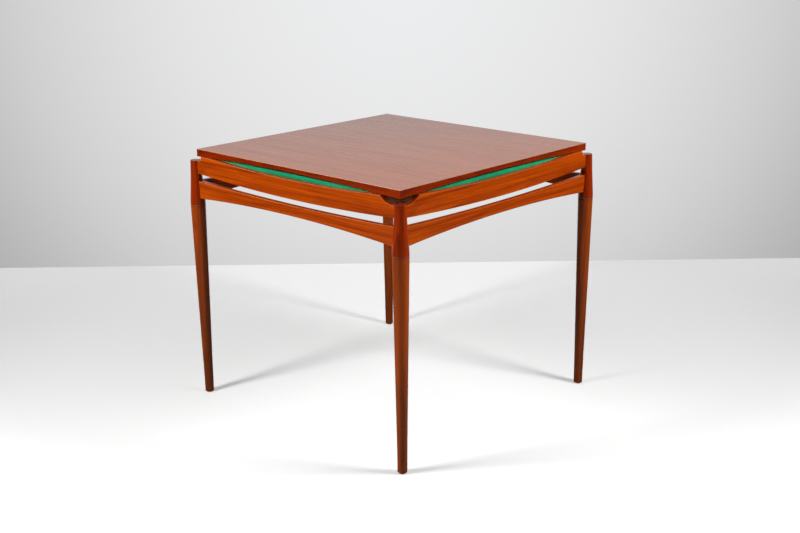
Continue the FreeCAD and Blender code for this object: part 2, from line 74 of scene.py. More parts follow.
camera_data = bpy.data.cameras.new("camera")
camera_data.sensor_fit = "HORIZONTAL"
camera_data.sensor_width = SENSOR_WIDTH
camera_data.lens = FOCAL_PIXELS / IMAGE_WIDTH * SENSOR_WIDTH
camera = bpy.data.objects.new("camera", camera_data)
camera.matrix_world = Matrix.Translation(EYE) @ turned_to_view
bpy.context.collection.objects.link(camera)
bpy.context.scene.camera = camera
bpy.context.scene.view_settings.view_transform = "Standard"
print("lens:", round(camera_data.lens, 2), "mm")

# %% [markdown]
# Two soft boxes flank the table, one at each side of the camera, and cast the crossed
# soft shadows of the legs. An area lamp does this: its size sets how soft a shadow is.
# Each is aimed past the table, so that only the edge of its light falls on the rails.

# %% Soft boxes
BOX_SIDE = 0.6
LEFT_BOX, LEFT_AIM = Vector((-0.58, -1.95, 1.75)), Vector((1.3, -0.8, 0.45))
RIGHT_BOX, RIGHT_AIM = Vector((1.75, 0.58, 1.75)), Vector((0.3, -1.2, 0.45))
LEFT_WATTS = 48
RIGHT_WATTS = 37


def soft_box(name, place, aim, watts):
    lamp_data = bpy.data.lights.new(name, "AREA")
    lamp_data.shape = "SQUARE"
    lamp_data.size = BOX_SIDE
    lamp_data.energy = watts
    lamp = bpy.data.objects.new(name, lamp_data)
    lamp.location = place
    lamp.rotation_euler = (aim - place).to_track_quat("-Z", "Y").to_euler()
    bpy.context.collection.objects.link(lamp)
    print(name, "of", watts, "W")


soft_box("left_box", LEFT_BOX, LEFT_AIM, LEFT_WATTS)
soft_box("right_box", RIGHT_BOX, RIGHT_AIM, RIGHT_WATTS)

# %% [markdown]
# Light and finishes are drawn with shader nodes. A few helpers keep that short: most add one
# node, wire what they are given into it, and hand back the socket that the next node needs.

# %% Node helpers
def add_node(tree, kind, spot=(0, 0), **settings):
    """A node of some kind. spot is where it lies in the node editor."""
    node = tree.nodes.new(kind)
    node.location = spot
    for name, value in settings.items():
        setattr(node, name, value)
    return node


def feed(tree, value, socket):
    """Give a socket its value: a link from another socket, or a plain number or colour."""
    if isinstance(value, bpy.types.NodeSocket):
        tree.links.new(value, socket)
    elif value is not None:
        socket.default_value = value


def mix_shaders(tree, amount, first, second, spot):
    """The first shader where amount is 0, and the second where it is 1."""
    node = add_node(tree, "ShaderNodeMixShader", spot)
    for socket, value in zip(node.inputs, (amount, first, second)):
        tree.links.new(value, socket)
    return node.outputs[0]


def colour_ramp(tree, value, steps, spot, interpolation="LINEAR"):
    """A colour that goes through steps of (position, colour) as value rises from 0 to 1."""
    node = add_node(tree, "ShaderNodeValToRGB", spot)
    node.color_ramp.interpolation = interpolation
    elements = node.color_ramp.elements
    for end in (0, -1):
        elements[end].position, elements[end].color = steps[end]
    for position, colour in steps[1:-1]:
        elements.new(position).color = colour
    tree.links.new(value, node.inputs["Fac"])
    return node.outputs["Color"]


def split(tree, vector, spot):
    """The X, Y and Z of a vector, as three outputs."""
    node = add_node(tree, "ShaderNodeSeparateXYZ", spot)
    tree.links.new(vector, node.inputs[0])
    return node.outputs


def grey(value):
    return (value, value, value, 1)


print("half grey:", grey(0.5))

# %% [markdown]
# The rest of the studio is dim, with a pale ceiling. The world gives its even light, and a
# plain grey where the camera looks past the set. Light Path tells the camera's rays from the
# others. Glossy rays find the ceiling: a ramp over the height of a direction makes it.

# %% World
ROOM_LIGHT = 0.055
ROOM_GREY = 0.80
CEILING_SHEEN = 0.8
CEILING_STEPS = ((0.45, grey(0.03)), (0.75, grey(1.0)))


def background(tree, colour, strength, spot):
    node = add_node(tree, "ShaderNodeBackground", spot)
    feed(tree, colour, node.inputs["Color"])
    node.inputs["Strength"].default_value = strength
    return node.outputs[0]


world = bpy.data.worlds.new("studio")
bpy.context.scene.world = world
world.use_nodes = True
sky = world.node_tree
sky.nodes.clear()
rays = add_node(sky, "ShaderNodeLightPath", (-600, 200)).outputs
direction = add_node(sky, "ShaderNodeTexCoord", (-1000, -350)).outputs["Generated"]
height = split(sky, direction, (-800, -350))["Z"]
ceiling = colour_ramp(sky, height, CEILING_STEPS, (-600, -350))
even = background(sky, grey(1.0), ROOM_LIGHT, (-200, 0))
bright = background(sky, grey(1.0), ROOM_GREY, (-200, -150))
sheen = background(sky, ceiling, CEILING_SHEEN, (-200, -350))
room = mix_shaders(sky, rays["Is Camera Ray"], even, bright, (0, 0))
room = mix_shaders(sky, rays["Is Glossy Ray"], room, sheen, (200, 0))
sky.links.new(room, add_node(sky, "ShaderNodeOutputWorld", (400, 0)).inputs["Surface"])
print("world light:", ROOM_LIGHT)

# %% [markdown]
# A new piece needs an object with a mesh and a material with nodes. Its mesh is drawn by a
# recipe of bmesh operators, which takes an empty shape and fills it. The set around the table
# has one more need: each of its surfaces shows from its front only.

# %% Helpers for new pieces
def new_object(name, mesh_maker):
    """Run a bmesh recipe and keep the result as an object at the origin."""
    shape = bmesh.new()
    mesh_maker(shape)
    mesh = bpy.data.meshes.new(name)
    shape.to_mesh(mesh)
    shape.free()
    obj = bpy.data.objects.new(name, mesh)
    bpy.context.collection.objects.link(obj)
    print(name, "faces:", len(mesh.polygons))
    return obj


def new_material(name):
    material = bpy.data.materials.new(name)
    material.use_nodes = True
    material.node_tree.nodes.clear()
    return material, material.node_tree


def diffuse(tree, value, spot):
    """A matt shader of one grey."""
    node = add_node(tree, "ShaderNodeBsdfDiffuse", spot)
    node.inputs["Color"].default_value = grey(value)
    return node.outputs[0]


def put_on(tree, shader, spot):
    """Send a shader to the material's surface."""
    output = add_node(tree, "ShaderNodeOutputMaterial", spot)
    tree.links.new(shader, output.inputs["Surface"])


def put_on_front(tree, shader, spot):
    """Send a shader to the front of a surface only, and leave its back clear."""
    behind = add_node(tree, "ShaderNodeNewGeometry", (spot[0] - 400, 300)).outputs["Backfacing"]
    clear = add_node(tree, "ShaderNodeBsdfTransparent", (spot[0] - 400, -200)).outputs[0]
    put_on(tree, mix_shaders(tree, behind, shader, clear, (spot[0] - 200, 0)), spot)


print("materials so far:", len(bpy.data.materials))

# %% [markdown]
# The floor is a large pale sheet. Part of its white is its own glow, seen only by the camera,
# so that it keeps the soft shadows without washing the table in light.
# The glow fades from the front of the set towards its back. Seen from below, the floor is
# clear, so that the underside of the table can be looked at.

# %% Floor
FLOOR_HALF = 14.0
FLOOR_BACK = Vector((-0.69, 0.72, 0)).normalized()
FLOOR_NEAR, FLOOR_FAR = -2.2, 1.6
FLOOR_DULL, FLOOR_PALE = 0.30, 0.88
FLOOR_GLOW = ((0.0, grey(0.42)), (0.30, grey(0.22)), (0.45, grey(0.21)),
              (0.68, grey(0.345)), (1.0, grey(0.55)))

floor = new_object("floor", lambda shape: bmesh.ops.create_grid(
    shape, x_segments=1, y_segments=1, size=FLOOR_HALF))

floor_material, tree = new_material("pale_floor")
rays = add_node(tree, "ShaderNodeLightPath", (-600, 400)).outputs
lit = mix_shaders(tree, rays["Is Camera Ray"], diffuse(tree, FLOOR_DULL, (-400, 250)),
                  diffuse(tree, FLOOR_PALE, (-400, 100)), (-200, 200))
place = add_node(tree, "ShaderNodeTexCoord", (-1200, 0)).outputs["Object"]
depth = add_node(tree, "ShaderNodeVectorMath", (-1000, 0), operation="DOT_PRODUCT")
depth.inputs[1].default_value = FLOOR_BACK
tree.links.new(place, depth.inputs[0])
spread = add_node(tree, "ShaderNodeMapRange", (-800, 0), clamp=True)
spread.inputs["From Min"].default_value = FLOOR_NEAR
spread.inputs["From Max"].default_value = FLOOR_FAR
tree.links.new(depth.outputs["Value"], spread.inputs["Value"])
own = add_node(tree, "ShaderNodeEmission", (-200, -50))
tree.links.new(colour_ramp(tree, spread.outputs["Result"], FLOOR_GLOW, (-600, 0)),
               own.inputs["Color"])
tree.links.new(rays["Is Camera Ray"], own.inputs["Strength"])
both = add_node(tree, "ShaderNodeAddShader", (0, 0))
tree.links.new(lit, both.inputs[0])
tree.links.new(own.outputs[0], both.inputs[1])
put_on_front(tree, both.outputs[0], (400, 0))
floor.data.materials.append(floor_material)

# %% [markdown]
# A grey wall closes the picture behind the table. It could be a curved backdrop, but the
# meeting line of wall and floor shows, so it is one upright face, pulled up from an edge.

# %% Wall
WALL_LEFT = Vector((-2.051, -0.18, 0))
WALL_RIGHT = Vector((0.337, 2.103, 0))
WALL_HALF = 3.0
WALL_HEIGHT = 5.0
wall_middle = (WALL_LEFT + WALL_RIGHT) / 2


def pull_up(shape, edges, height):
    """Extrude edges straight up by a height."""
    raised = bmesh.ops.extrude_edge_only(shape, edges=edges)["geom"]
    bmesh.ops.translate(shape, vec=(0, 0, height),
                        verts=[v for v in raised if isinstance(v, bmesh.types.BMVert)])
    shape.normal_update()


def make_wall(shape):
    along = (WALL_RIGHT - WALL_LEFT).normalized() * WALL_HALF
    foot = [shape.verts.new(wall_middle - along), shape.verts.new(wall_middle + along)]
    pull_up(shape, [shape.edges.new(foot)], WALL_HEIGHT)
    face = next(iter(shape.faces))
    if face.normal.dot(EYE) < 0:
        bmesh.ops.reverse_faces(shape, faces=[face])


wall = new_object("wall", make_wall)

# %% [markdown]
# The wall's grey falls off towards the sides and the floor, as the soft boxes leave it. A
# ramp over the distance from a bright middle draws that, as a glow that only the camera and
# glossy rays see. Its other side is clear, so that the table can be seen from behind.

# %% Wall finish
WALL_PAINT = 0.7
GLOW_HEIGHT = 1.15
GLOW_REACH = 2.4
WALL_GLOW = ((0.0, (0.86, 0.865, 0.875, 1)), (0.35, (0.79, 0.79, 0.7979, 1)),
             (0.62, (0.63, 0.63, 0.6363, 1)), (0.85, (0.43, 0.43, 0.4343, 1)),
             (1.0, (0.28, 0.28, 0.285, 1)))

wall_material, tree = new_material("grey_wall")
place = add_node(tree, "ShaderNodeTexCoord", (-1200, 0)).outputs["Object"]
centre = add_node(tree, "ShaderNodeVectorMath", (-1000, 0), operation="DISTANCE")
centre.inputs[1].default_value = wall_middle + Vector((0, 0, GLOW_HEIGHT))
tree.links.new(place, centre.inputs[0])
reach = add_node(tree, "ShaderNodeMath", (-900, -150), operation="DIVIDE")
reach.inputs[1].default_value = GLOW_REACH
tree.links.new(centre.outputs["Value"], reach.inputs[0])
glow = add_node(tree, "ShaderNodeEmission", (-400, 0))
tree.links.new(colour_ramp(tree, reach.outputs[0], WALL_GLOW, (-800, 0), "B_SPLINE"),
               glow.inputs["Color"])
rays = add_node(tree, "ShaderNodeLightPath", (-800, 300)).outputs
seen = add_node(tree, "ShaderNodeMath", (-600, 300), operation="MAXIMUM")
tree.links.new(rays["Is Camera Ray"], seen.inputs[0])
tree.links.new(rays["Is Glossy Ray"], seen.inputs[1])
front = mix_shaders(tree, seen.outputs[0], diffuse(tree, WALL_PAINT, (-400, 150)),
                    glow.outputs[0], (-200, 100))
put_on_front(tree, front, (200, 0))
wall.data.materials.append(wall_material)
print("wall glow reaches", GLOW_REACH, "m")

# %% [markdown]
# Grain, wear and painted light are masks: values from 0 to 1 that change over a surface and
# say how much of a second colour shows. These helpers make them from noise, sums and smooth
# steps. Most of a noise lies in its middle, so a step over that spread uses its whole range.

# %% Mask and colour helpers
NOISE_SPREAD = (0.3, 0.7)


def maths(tree, operation, first, second=None, third=None, spot=(0, 0), clamp=False):
    """A Math node. Its inputs are sockets or numbers."""
    node = add_node(tree, "ShaderNodeMath", spot, operation=operation, use_clamp=clamp)
    for socket, value in zip(node.inputs, (first, second, third)):
        feed(tree, value, socket)
    return node.outputs[0]


def stretched_noise(tree, place, cells, spot, detail=2, roughness=0.5, distortion=0.0):
    """Noise with a given number of cells per metre along each axis."""
    scaled = add_node(tree, "ShaderNodeVectorMath", (spot[0] - 200, spot[1]),
                      operation="MULTIPLY")
    tree.links.new(place, scaled.inputs[0])
    scaled.inputs[1].default_value = cells
    noise = add_node(tree, "ShaderNodeTexNoise", spot)
    noise.inputs["Scale"].default_value = 1.0
    noise.inputs["Detail"].default_value = detail
    noise.inputs["Roughness"].default_value = roughness
    noise.inputs["Distortion"].default_value = distortion
    tree.links.new(scaled.outputs[0], noise.inputs["Vector"])
    return noise.outputs["Fac"]


def between(tree, value, low, high, spot, to_low=0.0, to_high=1.0):
    """A smooth step from to_low to to_high while value goes from low to high."""
    node = add_node(tree, "ShaderNodeMapRange", spot, clamp=True,
                    interpolation_type="SMOOTHSTEP")
    tree.links.new(value, node.inputs["Value"])
    node.inputs["From Min"].default_value = low
    node.inputs["From Max"].default_value = high
    node.inputs["To Min"].default_value = to_low
    node.inputs["To Max"].default_value = to_high
    return node.outputs["Result"]


def band(tree, value, rise, fall, spot):
    """1 in a band of values: it rises over the first pair and falls over the second."""
    rising = between(tree, value, *rise, (spot[0] - 150, spot[1]))
    falling = between(tree, value, *fall, (spot[0] - 150, spot[1] - 100), 1.0, 0.0)
    return maths(tree, "MULTIPLY", rising, falling, spot=spot)


def mix_colours(tree, amount, first, second, spot, blend="MIX"):
    """The first colour where amount is 0, and the second, or their blend, where it is 1."""
    node = add_node(tree, "ShaderNodeMix", spot, data_type="RGBA", blend_type=blend,
                    clamp_factor=True)
    for socket, value in ((node.inputs[0], amount), (node.inputs[6], first),
                          (node.inputs[7], second)):
        feed(tree, value, socket)
    return node.outputs[2]


def srgb(red, green, blue):
    """A colour as picture values from 0 to 255, in Blender's linear light."""
    def linear(value):
        value /= 255
        return value / 12.92 if value <= 0.04045 else ((value + 0.055) / 1.055) ** 2.4
    return (linear(red), linear(green), linear(blue), 1)


print("picture grey 128 is", round(srgb(128, 128, 128)[0], 3), "in linear light")

# %% [markdown]
# Every wooden piece is the same warm red-brown hardwood, oiled and rubbed to a satin.
# Each could have its own nodes, but all share one grain, so a node group draws it once. It
# takes a place whose X runs along the grain, and the way a face looks, turned in the same
# manner. It gives a colour, a roughness and a height.

# %% Wood grain group
FLOAT, COLOUR, VECTOR = "NodeSocketFloat", "NodeSocketColor", "NodeSocketVector"


def new_group(name, inputs, outputs):
    """A node group with named sockets, and its own input and output nodes."""
    group = bpy.data.node_groups.new(name, "ShaderNodeTree")
    for socket_name, kind, value in inputs:
        socket = group.interface.new_socket(name=socket_name, in_out="INPUT",
                                            socket_type=kind)
        if value is not None:
            socket.default_value = value
    for socket_name, kind in outputs:
        group.interface.new_socket(name=socket_name, in_out="OUTPUT", socket_type=kind)
    given = add_node(group, "NodeGroupInput", (-1800, 0)).outputs
    result = add_node(group, "NodeGroupOutput", (1200, 0)).inputs
    return group, given, result


grain, given, result = new_group(
    "wood_grain",
    inputs=(("Place", VECTOR, None), ("Facing", VECTOR, None),
            ("Early wood", COLOUR, None), ("Late wood", COLOUR, None),
            ("Ring spacing", FLOAT, 0.009), ("Ring strength", FLOAT, 0.4),
            ("Streak strength", FLOAT, 0.5), ("Pore strength", FLOAT, 0.5),
            ("Gloss roughness", FLOAT, 0.35), ("End darkening", FLOAT, 0.6),
            ("Arris highlight", FLOAT, 0.0)),
    outputs=(("Color", COLOUR), ("Roughness", FLOAT), ("Height", FLOAT)))
where = given["Place"]
print("wood grain gives:", [socket.name for socket in result if socket.name])

# %% [markdown]
# Growth rings show as wavering lines along the board. A saw-tooth across the grain makes
# them: it rises slowly, as early wood darkens into late wood, and falls sharply, where the
# next year's wood starts pale. Slow noise bends the lines, and patches of noise let them fade
# here and there.

# %% Growth rings
RING_BEND = 0.12
RING_SLANT = 0.35
RING_PEAK = 0.82
BEND_CELLS = (1.3, 7, 7)
PATCH_CELLS = (2, 30, 30)

bend = stretched_noise(grain, where, BEND_CELLS, (-1300, 300))
apart = split(grain, where, (-1300, 0))
slanted = maths(grain, "MULTIPLY_ADD", apart["Z"], RING_SLANT, apart["Y"], (-1100, 0))
wandering = maths(grain, "MULTIPLY_ADD", bend, RING_BEND, slanted, (-950, 0))
phase = maths(grain, "DIVIDE", wandering, given["Ring spacing"], spot=(-800, 0))
tooth = maths(grain, "FRACT", phase, spot=(-650, 0))
ring = band(grain, tooth, (0.0, RING_PEAK), (RING_PEAK, 1.0), (-350, 0))
patchy = between(grain, stretched_noise(grain, where, PATCH_CELLS, (-700, 500)),
                 *NOISE_SPREAD, (-500, 500))
broken_ring = maths(grain, "MULTIPLY", ring, patchy, spot=(-200, 100))
ring_amount = maths(grain, "MULTIPLY", broken_ring, given["Ring strength"], spot=(-50, 100))
print("ring lines lean by", RING_SLANT)

# %% [markdown]
# Between the rings run fine and broad dark streaks, far longer than they are wide. Noise
# that is stretched along the grain makes both. Rings and streaks together say how much of
# the late wood's colour shows.

# %% Streaks
STREAK_CELLS, STREAK_STEP = (3.5, 300, 300), (0.40, 0.62)
BROAD_CELLS, BROAD_STEP = (1.8, 95, 95), (0.36, 0.64)
STREAK_SHARE = 0.55

long_noise = stretched_noise(grain, where, STREAK_CELLS, (-700, -300), detail=5,
                             roughness=0.62, distortion=0.2)
streak = between(grain, long_noise, *STREAK_STEP, (-500, -300))
wide_noise = stretched_noise(grain, where, BROAD_CELLS, (-700, -500), detail=4, roughness=0.6)
broad = between(grain, wide_noise, *BROAD_STEP, (-500, -500))
fine = maths(grain, "MULTIPLY", streak, STREAK_SHARE, spot=(-300, -300))
streaks = maths(grain, "MULTIPLY_ADD", broad, STREAK_SHARE, fine, (-150, -400))
streak_amount = maths(grain, "MULTIPLY", streaks, given["Streak strength"], spot=(0, -400))
dark_amount = maths(grain, "ADD", ring_amount, streak_amount, spot=(150, -100), clamp=True)
base = mix_colours(grain, dark_amount, given["Early wood"], given["Late wood"], (350, 0))
print("streaks per metre:", STREAK_CELLS[1], "fine,", BROAD_CELLS[1], "broad")

# %% [markdown]
# Open pores are short dark dashes. They are the rare peaks of a very fine noise, so a step
# near its top picks them out.

# %% Pores
PORE_CELLS, PORE_STEP = (90, 1900, 1900), (0.60, 0.72)
PORE_TINT = (0.42, 0.36, 0.34, 1)

short_noise = stretched_noise(grain, where, PORE_CELLS, (-700, -800), detail=1, roughness=0.4)
pore = between(grain, short_noise, *PORE_STEP, (-500, -800))
pore_amount = maths(grain, "MULTIPLY", pore, given["Pore strength"], spot=(-200, -800))
dark_pore = mix_colours(grain, 1.0, base, PORE_TINT, (500, -200), "MULTIPLY")
grained = mix_colours(grain, pore_amount, base, dark_pore, (700, 0))
print("pores per metre:", PORE_CELLS[1])

# %% [markdown]
# End grain drinks more oil, so faces across the grain turn dark. Bevels along a rail's edges
# get a painted highlight: a pale wood colour laid on them. Both are found by the way a face
# looks: along the grain for an end, and half sideways for a bevel.

# %% End grain and painted highlights on bevels
END_TINT = (0.26, 0.20, 0.22, 1)
END_FACING = (0.30, 0.85)
ARRIS_HIGHLIGHT_WOOD = srgb(228, 140, 92)
BEVEL_FACING = ((0.45, 0.62), (0.80, 0.92))

faces = split(grain, given["Facing"], (300, 400))
along_grain = maths(grain, "ABSOLUTE", faces["X"], spot=(450, 500))
across_grain = maths(grain, "ABSOLUTE", faces["Y"], spot=(450, 350))
end_amount = maths(grain, "MULTIPLY", between(grain, along_grain, *END_FACING, (600, 500)),
                   given["End darkening"], spot=(750, 500))
dark_end = mix_colours(grain, 1.0, grained, END_TINT, (750, 200), "MULTIPLY")
oiled = mix_colours(grain, end_amount, grained, dark_end, (900, 100))
arris = band(grain, across_grain, *BEVEL_FACING, (750, 350))
arris_amount = maths(grain, "MULTIPLY", arris, given["Arris highlight"], spot=(900, 350))
grain.links.new(mix_colours(grain, arris_amount, oiled, ARRIS_HIGHLIGHT_WOOD, (1050, 0)), result["Color"])
print("end grain and bevels are in the group")

# %% [markdown]
# Pores are holes, so they are rougher and lie deeper than the wood around them. The dark
# streaks are a little rougher too.

# %% Roughness and height of the grain
PORE_ROUGHNESS, STREAK_ROUGHNESS = 0.2, 0.07
PORE_HEIGHT, STREAK_HEIGHT = -1.0, 0.25

streak_rough = maths(grain, "MULTIPLY", streak, STREAK_ROUGHNESS, spot=(300, -600))
rougher = maths(grain, "MULTIPLY_ADD", pore_amount, PORE_ROUGHNESS, streak_rough, (500, -600))
grain.links.new(maths(grain, "ADD", given["Gloss roughness"], rougher, spot=(700, -400)),
                result["Roughness"])
streak_high = maths(grain, "MULTIPLY", streak, STREAK_HEIGHT, spot=(300, -900))
grain.links.new(maths(grain, "MULTIPLY_ADD", pore_amount, PORE_HEIGHT, streak_high, (700, -800)),
                result["Height"])
print("wood grain nodes:", len(grain.nodes))

# %% [markdown]
# Age shows where a leg meets its post, as a dark groove. Above it runs a painted highlight,
# a thin pale line. The lower legs are painted darker and greyer: painted shade, with a painted
# sheen of the pale floor. Posts and legs both get these, so it is a group too. It finds the
# feet by their height above the floor, and groove and highlight line by their height from
# the joint.

# %% Wear, painted shade and painted highlight of posts and legs
JOINT_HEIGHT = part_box("leg_front_left")[1].z
JOINT_DARK, JOINT_HIGHLIGHT = srgb(60, 20, 8), srgb(226, 140, 96)
GROOVE_BAND, GROOVE_DEPTH = ((-0.0022, -0.0014), (-0.0002, 0.0004)), 0.5
HIGHLIGHT_BAND, HIGHLIGHT_STRENGTH = ((-0.0001, 0.0004), (0.0014, 0.0022)), 0.6
FOOT_SHADE_TINT = (0.66, 0.74, 1.5, 1)
FOOT_SHADE_HEIGHTS = (0.05, 0.42)


def wear_and_light_group(name):
    """A group that takes a place and a colour, and gives the colour with wear and painted light.
    """
    return new_group(name, inputs=(("Place", VECTOR, None), ("Color", COLOUR, None)),
                     outputs=(("Color", COLOUR),))


turned_wear_shade_and_highlight, given, result = wear_and_light_group("turned_wear_shade_and_highlight")
height = split(turned_wear_shade_and_highlight, given["Place"], (-500, 400))["Z"]
# The feet: painted shade, darker and greyer towards the floor.
foot_shade = between(turned_wear_shade_and_highlight, height, *FOOT_SHADE_HEIGHTS, (-300, 600), 1.0, 0.0)
shaded_foot = mix_colours(turned_wear_shade_and_highlight, 1.0, given["Color"], FOOT_SHADE_TINT, (-300, 300), "MULTIPLY")
colour = mix_colours(turned_wear_shade_and_highlight, foot_shade, given["Color"], shaded_foot, (-150, 400))
rise = maths(turned_wear_shade_and_highlight, "SUBTRACT", height, JOINT_HEIGHT, spot=(-400, 800))
groove = maths(turned_wear_shade_and_highlight, "MULTIPLY", band(turned_wear_shade_and_highlight, rise, *GROOVE_BAND, (-100, 850)),
               GROOVE_DEPTH, spot=(0, 700))
colour = mix_colours(turned_wear_shade_and_highlight, groove, colour, JOINT_DARK, (0, 500))
# A thin pale painted highlight just above the groove.
highlight_line = maths(turned_wear_shade_and_highlight, "MULTIPLY", band(turned_wear_shade_and_highlight, rise, *HIGHLIGHT_BAND, (-100, 1050)),
              HIGHLIGHT_STRENGTH, spot=(0, 900))
turned_wear_shade_and_highlight.links.new(mix_colours(turned_wear_shade_and_highlight, highlight_line, colour, JOINT_HIGHLIGHT, (100, 600)),
                      result["Color"])
print("legs meet posts at", round(JOINT_HEIGHT, 4), "m")

# %% [markdown]
# The board's top edges get a painted highlight: a thin pale line along them, stronger across
# the board's front and back. It is measured inward from the board's edge.

# %% Painted highlight on the board's rim
BOARD_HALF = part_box("top_veneer")[1].x
RIM_HIGHLIGHT_COLOUR = srgb(240, 168, 130)
RIM_INNER, RIM_OUTER = 0.0026, 0.0012
RIM_STRENGTH = {"X": 0.25, "Y": 0.75}

rim_highlight, given, result = wear_and_light_group("rim_highlight")
apart = split(rim_highlight, given["Place"], (-500, 400))
rims = []
for axis, strength in RIM_STRENGTH.items():
    farther = maths(rim_highlight, "ABSOLUTE", apart[axis], spot=(-350, 400))
    rims.append(between(rim_highlight, farther, BOARD_HALF - RIM_INNER, BOARD_HALF - RIM_OUTER,
                        (-200, 400), 0.0, strength))
# The pale line is a painted highlight.
rim = maths(rim_highlight, "MAXIMUM", *rims, spot=(50, 400))
rim_highlight.links.new(mix_colours(rim_highlight, rim, given["Color"], RIM_HIGHLIGHT_COLOUR, (200, 400)),
                   result["Color"])
# Where the painted highlight on the rim starts.
print("rim highlight starts", RIM_INNER * 1000, "mm from the edge")

# %% [markdown]
# A wood is the grain group with its own colours, turned so that the grain follows the piece.
# Rails and lippings run along X or Y, posts and legs along Z, so each finish has a Mapping
# node that brings its long way onto the group's X. A second one turns the normal for the end
# grain. The oil is a weak coat over a satin base.

# %% Wood finishes
ALONG_X = (0, 0, 0)
ALONG_Y = (0, 0, math.radians(-90))
ALONG_Z = (0, math.radians(90), 0)
WOOD_IOR = 1.5
COAT_ROUGHNESS = 0.10
WOOD_BUMP = 0.6


def bump(tree, height, strength, distance, spot):
    """Turn a height into the Normal of a surface."""
    node = add_node(tree, "ShaderNodeBump", spot)
    node.inputs["Strength"].default_value = strength
    node.inputs["Distance"].default_value = distance
    tree.links.new(height, node.inputs["Height"])
    return node.outputs["Normal"]


def turned(tree, vector, turn, kind, spot):
    """A place or a direction, turned so that its long way lies on X."""
    node = add_node(tree, "ShaderNodeMapping", spot, vector_type=kind)
    node.inputs["Rotation"].default_value = turn
    tree.links.new(vector, node.inputs["Vector"])
    return node.outputs[0]


def wood(name, turn, early, late, spacing=0.009, rings=0.4, streaks=0.5, pores=0.5,
         gloss=0.24, coat=0.10, shine=0.2, relief=0.00012, arris_highlight=0.0, wear=None):
    """A wood material. wear is a group that changes its colour by the place on the table, with
    wear and painted light.
    """
    material, tree = new_material(name)
    place = add_node(tree, "ShaderNodeTexCoord", (-900, 0)).outputs
    drawn = add_node(tree, "ShaderNodeGroup", (-450, 0), node_tree=grain)
    for socket, value in (
            ("Place", turned(tree, place["Object"], turn, "POINT", (-700, 0))),
            ("Facing", turned(tree, place["Normal"], turn, "VECTOR", (-700, -400))),
            ("Early wood", early), ("Late wood", late), ("Ring spacing", spacing),
            ("Ring strength", rings), ("Streak strength", streaks), ("Pore strength", pores),
            ("Gloss roughness", gloss), ("Arris highlight", arris_highlight)):
        feed(tree, value, drawn.inputs[socket])
    colour = drawn.outputs["Color"]
    if wear:
        overlay = add_node(tree, "ShaderNodeGroup", (-200, 200), node_tree=wear)
        tree.links.new(place["Object"], overlay.inputs["Place"])
        tree.links.new(colour, overlay.inputs["Color"])
        colour = overlay.outputs["Color"]
    skin = add_node(tree, "ShaderNodeBsdfPrincipled", (0, 0))
    for socket, value in (
            ("IOR", WOOD_IOR), ("Specular IOR Level", shine), ("Coat Weight", coat),
            ("Coat Roughness", COAT_ROUGHNESS), ("Base Color", colour),
            ("Roughness", drawn.outputs["Roughness"]),
            ("Normal", bump(tree, drawn.outputs["Height"], WOOD_BUMP, relief, (-200, -250)))):
        feed(tree, value, skin.inputs[socket])
    put_on(tree, skin.outputs[0], (300, 0))
    print("finish:", name)
    return material


print("grain turns by", round(math.degrees(ALONG_Z[1])), "degrees for upright pieces")

# %% [markdown]
# The rails are the brightest wood. The posts are redder and the legs browner, and the
# lippings are the darkest. The top is a veneer with wide rings and a closed, glossier surface.
# Blocks, core and dowels are plain and matt. The corner blocks are painted dark brown, as
# painted shade: they sit in the dark under the board's corners.

# %% Colours of the woods
RAIL_EARLY, RAIL_LATE = srgb(214, 87, 0), srgb(150, 46, 0)
POST_EARLY, POST_LATE = srgb(182, 56, 0), srgb(104, 22, 0)
LEG_EARLY, LEG_LATE = srgb(192, 80, 4), srgb(112, 43, 3)
LIP_EARLY, LIP_LATE = srgb(160, 48, 0), srgb(104, 22, 0)
TOP_EARLY, TOP_LATE = srgb(178, 86, 20), srgb(134, 57, 9)
BLOCK_SHADE_EARLY, BLOCK_SHADE_LATE = srgb(98, 46, 22), srgb(70, 30, 14)
CORE_EARLY, CORE_LATE = srgb(205, 176, 132), srgb(176, 142, 98)
DOWEL_EARLY, DOWEL_LATE = srgb(214, 180, 134), srgb(190, 150, 104)

# The bevels of the front and back rails get more painted highlight than those of the sides.
rail_x = wood("rail_wood_x", ALONG_X, RAIL_EARLY, RAIL_LATE, rings=0.22, streaks=0.8, arris_highlight=0.4)
rail_y = wood("rail_wood_y", ALONG_Y, RAIL_EARLY, RAIL_LATE, rings=0.22, streaks=0.8, arris_highlight=0.08)
post_wood = wood("post_wood", ALONG_Z, POST_EARLY, POST_LATE, spacing=0.007,
                 coat=0.2, wear=turned_wear_shade_and_highlight)
leg_wood = wood("leg_wood", ALONG_Z, LEG_EARLY, LEG_LATE, spacing=0.007,
                coat=0.2, wear=turned_wear_shade_and_highlight)
lip_x = wood("lipping_wood_x", ALONG_X, LIP_EARLY, LIP_LATE, spacing=0.006)
lip_y = wood("lipping_wood_y", ALONG_Y, LIP_EARLY, LIP_LATE, spacing=0.006)
veneer = wood("top_veneer", ALONG_X, TOP_EARLY, TOP_LATE, spacing=0.03, rings=0.35,
              streaks=0.42, pores=0.35, coat=0.24, shine=0.22, relief=0.00006, wear=rim_highlight)
# The corner blocks: painted shade, a dark brown.
block_wood = wood("block_wood", ALONG_X, BLOCK_SHADE_EARLY, BLOCK_SHADE_LATE, rings=0.3, gloss=0.6, coat=0.0)
core_wood = wood("board_core", ALONG_X, CORE_EARLY, CORE_LATE, rings=0.2, gloss=0.7, coat=0.0)
dowel_wood = wood("dowel_wood", ALONG_X, DOWEL_EARLY, DOWEL_LATE, rings=0.2, gloss=0.6,
                  coat=0.0)

# %% [markdown]
# Each node keeps its shape and gets its finish in its own material slots.

